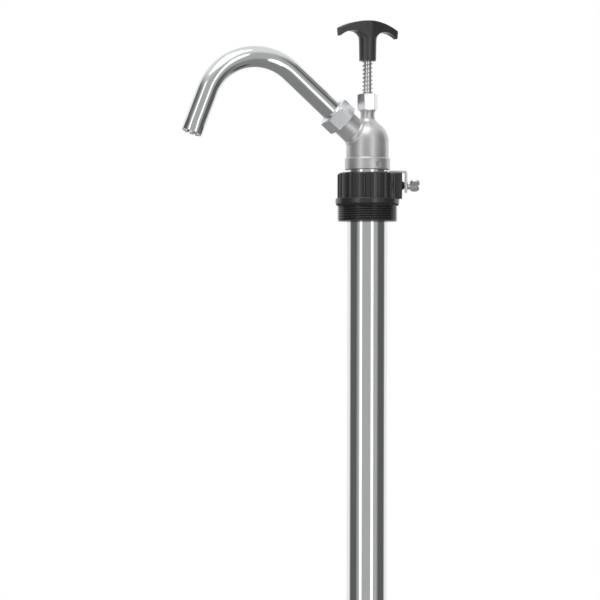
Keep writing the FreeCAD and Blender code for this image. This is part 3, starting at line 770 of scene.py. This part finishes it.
def buildClip():
    foot, top = lowest("clamp_clip"), highest("clamp_clip")
    a, b, t = clip["inner"], clip["outer"], clip["thickness"]
    outline = rounded([(a, foot, 0.8), (a, top, clip["bend"]), (b, top, clip["bend"]),
                       (b, foot, 0.8), (b - t, foot, 0.8), (b - t, top - t, 0.9),
                       (a + t, top - t, 0.9), (a + t, foot, 0.8)], 1.0, steps=6)
    strip = bevelled(extruded("stripClip", outline, clip["width"]), clip["edge"])
    hole = radialRod("clipHole", clip["hole"], a - 2, b + 2, clampHeight, 0)
    return softShading(clampTurned(cutBy(strip, hole)))


keep(buildClip(), "zinc_strip", "collar", "clamp_clip")

# bung collar: turned body with grip ribs and a pipe thread, lug, nub and keyway

collar = {"thread": 29.8, "threadDepth": 1.25, "pitch": 2.309, "leadIn": 1.2, "neck": 28.9,
          "flange": 31.6, "grip": 28.6, "bore": 20.35, "rib": 1.3, "ribs": 24, "segments": 480,
          "ribTop": 1.2, "flangeHeight": 5.5, "gasketGap": 0.05, "row": 0.19}
lug = {"from": 25.0, "to": 34.2, "width": 14.0, "edge": 0.9}
nub = {"root": 4.6, "tip": 3.7, "length": 2.1}
keyway = {"to": 23.0, "width": 12.6, "from": 19.0}


def collarTree(tree, s, incoming):
    # ribs round the grip and a helical thread below the flange, pushed out of the turned body
    point = tree.flow("GeometryNodeInputPosition")
    parts = tree.node("ShaderNodeSeparateXYZ", inputs={0: point})
    x, y, z = (Flow(tree, parts.outputs[k]) / mm for k in range(3))
    r = tree.length(x, y)
    angle = y.maths("ARCTAN2", x)
    # ribs
    first = math.radians(clamp["angle"]) + math.pi / collar["ribs"]
    steps = (angle - first) * (s["Ribs"] / (2 * math.pi))
    off = abs(steps - steps.maths("ROUND")) * (2 * math.pi / s["Ribs"]) * s["Grip"]
    rib = (s["Rib"] * s["Rib"] - off * off).high(0.0).maths("SQRT")
    rib = rib.low(((s["Rib Top"] - z) * 2.0).high(0.0)).low(((z - s["Rib Foot"]) * 40.0).high(0.0))
    onGrip = r.maths("GREATER_THAN", s["Grip"] - 0.2) * z.maths("GREATER_THAN", s["Rib Foot"] - 0.05)
    # thread
    wave = ((z / s["Pitch"] - angle / (2 * math.pi)) * (2 * math.pi)).maths("COSINE")
    depth = s["Thread Depth"] * (0.5 - 0.5 * wave).maths("POWER", 1.3)
    onThread = r.maths("GREATER_THAN", s["Thread"] - 0.05) * z.maths("LESS_THAN", -0.3)
    push = rib * onGrip - depth * onThread
    scale = (r + push) / r
    moved = tree.node("ShaderNodeCombineXYZ",
                      inputs={0: x * scale * mm, 1: y * scale * mm, 2: z * mm})
    placed = tree.flow("GeometryNodeSetPosition",
                       inputs={"Geometry": incoming, "Position": Flow(tree, moved.outputs[0])})
    return tree.flow("GeometryNodeSetShadeSmooth", inputs={0: placed})


def buildCollar():
    foot, top = lowest("bung_collar"), highest("bung_collar")
    flangeFoot = highest("bung_gasket") + collar["gasketGap"]
    gripFoot = flangeFoot + collar["flangeHeight"]
    thread, bore, grip = collar["thread"], collar["bore"], collar["grip"]
    rows = int(-(foot + collar["leadIn"]) / collar["row"])
    outline = [(bore + 0.5, foot), (thread - collar["leadIn"], foot)]
    outline += [(thread, foot + collar["leadIn"] + k * (-0.2 - foot - collar["leadIn"]) / rows)
                for k in range(rows + 1)]
    outline += [(thread - 0.3, 0.0), (collar["neck"], 0.0), (collar["neck"], flangeFoot)]
    outline += rounded([(collar["neck"], flangeFoot), (collar["flange"], flangeFoot, 0.8),
                        (collar["flange"], gripFoot, 0.8), (grip, gripFoot)], 0.8, closed=False)[1:]
    ribTop = top - collar["ribTop"]
    outline += [(grip, gripFoot + 0.06), (grip, gripFoot + 6.0), (grip, gripFoot + 14.0)]
    outline += [(grip, ribTop - 1.2 + 0.1 * k) for k in range(14)]
    outline += [(grip - 0.08, top - 0.75), (grip - 0.3, top - 0.35), (grip - 0.65, top - 0.08),
                (grip - 1.1, top)]
    outline += [(bore + 0.8, top), (bore + 0.25, top - 0.2), (bore, top - 0.7), (bore, foot + 0.5)]
    built = turnedMesh([(r * mm, z * mm) for r, z in outline], collar["segments"])
    sizes = {"Grip": grip, "Rib": collar["rib"], "Ribs": collar["ribs"], "Rib Top": ribTop,
             "Rib Foot": gripFoot, "Thread": thread, "Thread Depth": collar["threadDepth"],
             "Pitch": collar["pitch"]}
    body = runTree("bungCollar", sizes, "black_plastic", collarTree,
                   meshFromBmesh("collarBody", built))
    keywayFoot = lowest("clamp_clip") - 0.6
    slot = extruded("keyway", [(keyway["from"], keywayFoot), (keyway["to"], keywayFoot),
                               (keyway["to"], top + 3), (keyway["from"], top + 3)], keyway["width"])
    hole = radialRod("screwWay", clip["hole"], 19.0, 40.0, clampHeight, clamp["angle"])
    body = cutBy(body, clampTurned(slot), hole)
    # lug that the clip hooks over, with its nub
    lugBox = extruded("collarLug", [(lug["from"], gripFoot - 0.4), (lug["to"], gripFoot - 0.4),
                                    (lug["to"], top), (lug["from"], top)], lug["width"])
    lugBox = clampTurned(bevelled(lugBox, lug["edge"], 4))
    nubMesh = turnedMesh([(r * mm, z * mm) for r, z in [
        (0, lug["to"] - 2), (nub["root"] + 0.1, lug["to"] - 2), (nub["root"] + 0.1, lug["to"]),
        (nub["root"] - 0.2, lug["to"] + 0.25), (nub["tip"] + 0.2, lug["to"] + nub["length"] - 0.45),
        (nub["tip"] - 0.35, lug["to"] + nub["length"]), (0, lug["to"] + nub["length"])]],
        64, closed=False)
    nubMesh.transform(Matrix.Rotation(math.radians(clamp["angle"]), 4, "Z")
                      @ Matrix.Translation((0, 0, clampHeight * mm))
                      @ Matrix.Rotation(math.pi / 2, 4, "Y"))
    nubPiece = newObject("nub", meshFromBmesh("nub", nubMesh))
    lugBox = cutBy(lugBox, nubPiece, operation="UNION")
    hole = radialRod("screwWay", clip["hole"], 19.0, 40.0, clampHeight, clamp["angle"])
    lugBox = cutBy(lugBox, hole)
    return softShading(body, 40), softShading(lugBox, 35)


collarBody, collarLug = buildCollar()
keep(collarBody, "black_plastic", "collar", "bung_collar")
keep(collarLug, "black_plastic", "collar")

# turned pieces: barrel, rod, gasket, washer

barrel = {"radius": 20.0, "wall": 1.0, "segments": 224, "edge": 0.3, "screwHole": 2.9}
rodSizes = {"radius": 4.0, "stud": 3.0, "segments": 72}
gasket = {"outer": 31.0, "inner": 28.95, "edge": 0.45}
washer = {"outer": 6.0, "inner": 4.35, "edge": 0.2}


def turnedPiece(name, corners, radius, segments, steps=4):
    outline = rounded(corners, radius, steps=steps)
    built = turnedMesh([(r * mm, z * mm) for r, z in outline], segments)
    return softShading(newObject(name, meshFromBmesh(name, built)), 40)


def buildBarrel():
    foot, top = lowest("barrel_tube"), highest("barrel_tube")
    inner = barrel["radius"] - barrel["wall"]
    low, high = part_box("foot_screws")
    screwHeight = (low.z + high.z) / 2 / mm
    outer = [(barrel["radius"], z, 0.0) for z in
             (screwHeight - 6, screwHeight + 6, foot + 200, foot + 420, foot + 640)]
    wall = [(inner, z, 0.0) for z in (foot + 420, screwHeight + 6, screwHeight - 6)]
    corners = [(inner, foot), (barrel["radius"], foot)] + outer + [
        (barrel["radius"], top), (inner, top)] + wall
    tube = turnedPiece("barrelTube", corners, barrel["edge"], barrel["segments"])
    holes = [radialRod("screwHole", barrel["screwHole"], inner - 2, barrel["radius"] + 2,
                       screwHeight, 90 + 120 * k) for k in range(3)]
    return softShading(cutBy(tube, *holes), 40)


def buildRod():
    foot, top = lowest("pump_rod"), highest("pump_rod")
    shoulder = lowest("piston_body") + 6.0
    stud = rodSizes["stud"]
    corners = [(0, foot), (stud, foot, 0.5), (stud, shoulder), (rodSizes["radius"], shoulder),
               (rodSizes["radius"], top, 0.4), (0, top)]
    outline = rounded(corners, 0.3, closed=False)
    built = turnedMesh([(r * mm, z * mm) for r, z in outline], rodSizes["segments"], closed=False)
    return softShading(newObject("pumpRod", meshFromBmesh("pumpRod", built)), 40)


keep(buildBarrel(), "barrel_chrome", "barrel", "barrel_tube")
keep(buildRod(), "bright_steel", "rod_assembly", "pump_rod")

low, high = lowest("bung_gasket"), highest("bung_gasket")
keep(turnedPiece("bungGasket", [(gasket["inner"], low), (gasket["outer"], low),
                                (gasket["outer"], high), (gasket["inner"], high)],
                 gasket["edge"], 192), "black_rubber", "collar", "bung_gasket")
low, high = lowest("spring_washer"), highest("spring_washer")
keep(turnedPiece("springWasher", [(washer["inner"], low), (washer["outer"], low),
                                  (washer["outer"], high), (washer["inner"], high)],
                 washer["edge"], 96), "zinc_strip", "bumper_washer", "spring_washer")

# bumper spring, a coil with closed ends

spring = {"mean": 4.9, "wire": 0.5, "turns": 9.5, "closed": 0.9, "perTurn": 56, "travel": 10.0,
          "closedPitch": 2.06}


def springTree(tree, s, incoming):
    # a straight line of points wound up: even pitch between closed turns at both ends
    count = int(spring["turns"] * spring["perTurn"])
    line = tree.flow("GeometryNodeCurvePrimitiveLine", inputs={"End": (0, 0, 1.0)})
    points = tree.flow("GeometryNodeResampleCurve", inputs={"Curve": line, "Count": count + 1})
    turn = tree.flow("GeometryNodeInputIndex") / float(spring["perTurn"])
    angle = turn * (2 * math.pi)
    closedRise = s["Closed"] * s["Wire"] * spring["closedPitch"]
    active = s["Turns"] - 2.0 * s["Closed"]
    pitch = (s["Top"] - s["Foot"] - s["Wire"] * 2.0 - closedRise * 2.0) / active
    lower = turn.low(s["Closed"]) * s["Wire"] * spring["closedPitch"]
    middle = (turn - s["Closed"]).high(0.0).low(active) * pitch
    upper = (turn - s["Turns"] + s["Closed"]).high(0.0) * s["Wire"] * spring["closedPitch"]
    height = s["Foot"] + s["Wire"] + lower + middle + upper
    place = tree.node("ShaderNodeCombineXYZ", inputs={
        0: angle.maths("COSINE") * s["Mean"] * mm, 1: angle.maths("SINE") * s["Mean"] * mm,
        2: height * mm})
    wound = tree.flow("GeometryNodeSetPosition", inputs={
        "Geometry": points, "Position": Flow(tree, place.outputs[0])})
    section = tree.flow("GeometryNodeCurvePrimitiveCircle", inputs={
        "Resolution": 14, "Radius": s["Wire"] * mm})
    wire = tree.flow("GeometryNodeCurveToMesh", inputs={
        "Curve": wound, "Profile Curve": section, "Fill Caps": True})
    return tree.flow("GeometryNodeSetShadeSmooth", inputs={0: wire})


springFoot, springTop = lowest("bumper_spring") + 0.05, highest("bumper_spring") - 0.02
springSizes = {"Mean": spring["mean"], "Wire": spring["wire"], "Turns": spring["turns"],
               "Closed": spring["closed"], "Foot": springFoot, "Top": springTop}
springPiece = runTree("bumperSpring", springSizes, "spring_steel", springTree)
keep(springPiece, None, "barrel", "bumper_spring")
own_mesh(springPiece)

# foot valve body and its screws

foot = {"sample": 0.48,
        "outer": 20.0, "spigot": 18.9, "leg": 6.0, "rim": 12.0, "slot": 10.0, "passage": 11.0,
        "seat": 7.5, "seatRise": 5.0, "chamber": 12.5, "strainer": 15.0, "strainerDepth": 1.25,
        "groove": (16.4, 12.0, 14.6), "pin": 1.3, "screwWay": (1.6, 2.9, 19.75)}
footScrews = {"shank": 1.5, "head": 2.8, "face": 19.75, "length": 4.35, "recess": 0.42,
              "sample": 0.2}
barrelFoot = lowest("barrel_tube")
footTop = highest("foot_body")
low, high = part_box("foot_pin")
pinHeight = (low.z + high.z) / 2 / mm
low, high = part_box("foot_screws")
screwHeight = (low.z + high.z) / 2 / mm


def threefold(tree, x, y, z):
    # one of three equal sectors: distance outwards, sideways, and height from the screws
    sector = 2 * math.pi / 3
    angle = y.maths("ARCTAN2", x) - math.pi / 2
    angle = angle - (angle / sector).maths("ROUND") * sector
    r = tree.length(x, y)
    return r * angle.maths("COSINE"), r * angle.maths("SINE"), z - screwHeight


def footField(tree, s, x, y, z):
    r = tree.length(x, y)
    h = z - s["Barrel Foot"]
    shoe = (r - s["Outer"]).blendHigh(h + 0.05, 0.5).blendHigh(-foot["rim"] - foot["leg"] - h, 1.6)
    spigot = (r - s["Spigot"]).blendHigh(z - s["Top"], 1.2).high(-1.0 - h)
    seatZ = s["Seat Rise"]
    cone = (r - s["Passage"] + h * ((foot["passage"] - foot["seat"]) / 4.0)) * 0.75
    passage = (r - s["Passage"]).high(cone).high(h - seatZ).low((r - s["Seat"]).high(-h))
    chamber = (r - s["Chamber"]).high(seatZ - h)
    recess = (r - s["Strainer"]).high(h + foot["rim"] - foot["strainerDepth"])
    slotHalf = foot["slot"] / 2
    slots = (abs(y) - slotHalf).low(abs(x) - slotHalf).blendHigh(h + foot["rim"], 0.8)
    grooveIn, grooveLow, grooveHigh = foot["groove"]
    groove = (grooveIn - r).high(grooveLow - h).high(h - grooveHigh)
    pin = tree.length(y, z - s["Pin Height"]) - foot["pin"]
    out, side, up = threefold(tree, x, y, z)
    small, wide, face = foot["screwWay"]
    across = tree.length(side, up)
    way = (across - small).high(15.3 - out).low(
        (across - wide).high((across - wide + face - out) * 0.7))
    gaps = passage.low(chamber).low(recess).low(slots).low(groove).low(pin).low(way)
    return shoe.low(spigot).blendHigh(-gaps, 0.7)


footSizes = {"Outer": foot["outer"], "Spigot": foot["spigot"], "Barrel Foot": barrelFoot,
             "Top": footTop, "Seat Rise": foot["seatRise"], "Seat": foot["seat"],
             "Passage": foot["passage"], "Chamber": foot["chamber"],
             "Strainer": foot["strainer"], "Pin Height": pinHeight}
footPiece = solidFromField("footBody", footSizes, "grey_plastic",
                           (-20.8, -20.8, lowest("foot_body") - 0.8),
                           (20.8, 20.8, footTop + 0.8), foot["sample"], footField)
keep(footPiece, None, "barrel", "foot_body")


def footScrewField(tree, s, x, y, z):
    out, side, up = threefold(tree, x, y, z)
    across = tree.length(side, up)
    head = (across - s["Head"]).blendHigh(out - s["Face"], 0.25)
    head = head.high((across - s["Head"] + s["Face"] - out - 0.15) * 0.7)
    shank = (across - s["Shank"]).high(s["Face"] - s["Length"] - out).high(out - s["Face"])
    cross = (abs(side).low(abs(up)) - s["Recess"]).high(across - 1.7).high(
        s["Face"] - 1.1 + 0.35 * across - out)
    return head.low(shank).blendHigh(-cross, 0.15)


screwSet = solidFromField(
    "footScrews", {"Head": footScrews["head"], "Shank": footScrews["shank"],
                   "Face": footScrews["face"], "Length": footScrews["length"],
                   "Recess": footScrews["recess"]}, "zinc_strip",
    (-18.9, -12.9, screwHeight - 3.2), (18.9, 20.2, screwHeight + 3.2), footScrews["sample"],
    footScrewField)
keep(screwSet, None, "barrel", "foot_screws")

# camera, floor and light

view = {"turn": -21.0, "distance": 2.4, "lens": 145.5, "across": -0.06645, "height": -0.0936,
        "roll": 0.12}
turn = math.radians(view["turn"])
towards = Vector((math.sin(turn), -math.cos(turn), 0))
right = Vector((math.cos(turn), math.sin(turn), 0))
target = Vector((0, 0, view["height"])) + right * view["across"]
lensData = bpy.data.cameras.new("mainCamera")
lensData.lens = view["lens"]
lensData.sensor_width = 36
lensData.clip_end = 20
mainCamera = newObject("mainCamera", lensData)
mainCamera.matrix_world = Matrix.Translation(target + towards * view["distance"]) @ (
    (-towards).to_track_quat("-Z", "Y").to_matrix().to_4x4()) @ Matrix.Rotation(
    math.radians(view["roll"]), 4, "Z")
bpy.context.scene.camera = mainCamera

floorSizes = {"radius": 2.5, "gap": 0.0002}


def buildFloor():
    built = bmesh.new()
    bmesh.ops.create_circle(built, cap_ends=True, radius=floorSizes["radius"], segments=128)
    low, high = cadBox
    bmesh.ops.translate(built, verts=built.verts, vec=(0, 0, low.z - floorSizes["gap"]))
    material, tree, shader = newMaterial("paleFloor", Roughness=0.75)
    cloud = noise(tree, objectPoint(tree), 3.0, 3.0)
    tree.feed(shader.inputs["Base Color"],
              mixColours(tree, cloud, (0.80, 0.80, 0.80, 1), (0.84, 0.84, 0.84, 1)))
    made = newObject("studioFloor", meshFromBmesh("studioFloor", built))
    made.data.materials.append(material)
    made.visible_glossy = False


buildFloor()

# a plain studio: white backdrop behind, darker sides, soft grey front, pale above, dim below
tones = {"back": 0.95, "side": 0.12, "front": 0.45, "above": 0.8, "below": 0.25}
edges = {"back": (0.25, 0.35), "front": (0.7, 0.8), "above": (30, 50), "below": (-15, -35)}


def lightStudio():
    world = bpy.data.worlds.new("studio")
    bpy.context.scene.world = world
    world.use_nodes = True
    tree = Tree(world.node_tree)
    world.node_tree.nodes.clear()
    direction = tree.flow("ShaderNodeTexCoord")
    parts = tree.node("ShaderNodeSeparateXYZ", inputs={0: direction})
    x, y, z = (Flow(tree, parts.outputs[k]) for k in range(3))
    toFront = x * towards.x + y * towards.y
    # 0 straight behind, 1 straight in front, the same on both sides
    around = toFront / tree.length(x, y).high(0.001) / 2 + 0.5

    def grey(name):
        return (tones[name], tones[name], tones[name], 1)

    stops = [(edges["back"][0], grey("back")), (edges["back"][1], grey("side")),
             (edges["front"][0], grey("side")), (edges["front"][1], grey("front"))]
    colour = tree.flow("ShaderNodeValToRGB", {"stops": stops}, {"Fac": around})
    lift = z.maths("ARCSINE") * (180 / math.pi)
    for name in ("above", "below"):
        start, end = edges[name]
        share = ((lift - start) / (end - start)).high(0.0).low(1.0)
        colour = mixColours(tree, share, colour, grey(name))
    seen = tree.flow("ShaderNodeLightPath")
    background = tree.node("ShaderNodeBackground", inputs={
        "Color": mixColours(tree, seen, colour, (1, 1, 1, 1))})
    output = tree.node("ShaderNodeOutputWorld")
    world.node_tree.links.new(background.outputs[0], output.inputs[0])


lightStudio()


def areaLight(name, power, size, spot):
    # a softbox aimed at the middle; the spot is sideways, forward and up, in metres
    data = bpy.data.lights.new(name, "AREA")
    data.energy = power
    data.shape = "RECTANGLE"
    data.size, data.size_y = size
    made = newObject(name, data)
    sideways, forward, height = spot
    place = right * sideways + towards * forward + Vector((0, 0, height))
    made.matrix_world = Matrix.Translation(place) @ (
        (-place).to_track_quat("-Z", "Y").to_matrix().to_4x4())


areaLight("softboxLeft", 3, (0.4, 2.4), (-1.0, 1.3, 0.0))
areaLight("softboxRight", 3, (0.4, 2.4), (0.7, 1.4, 0.0))
areaLight("softboxTop", 8, (1.2, 1.2), (-0.3, 0.6, 1.6))

bpy.context.scene.view_settings.view_transform = "Standard"
print("studio ready")

bpy.context.view_layer.update()
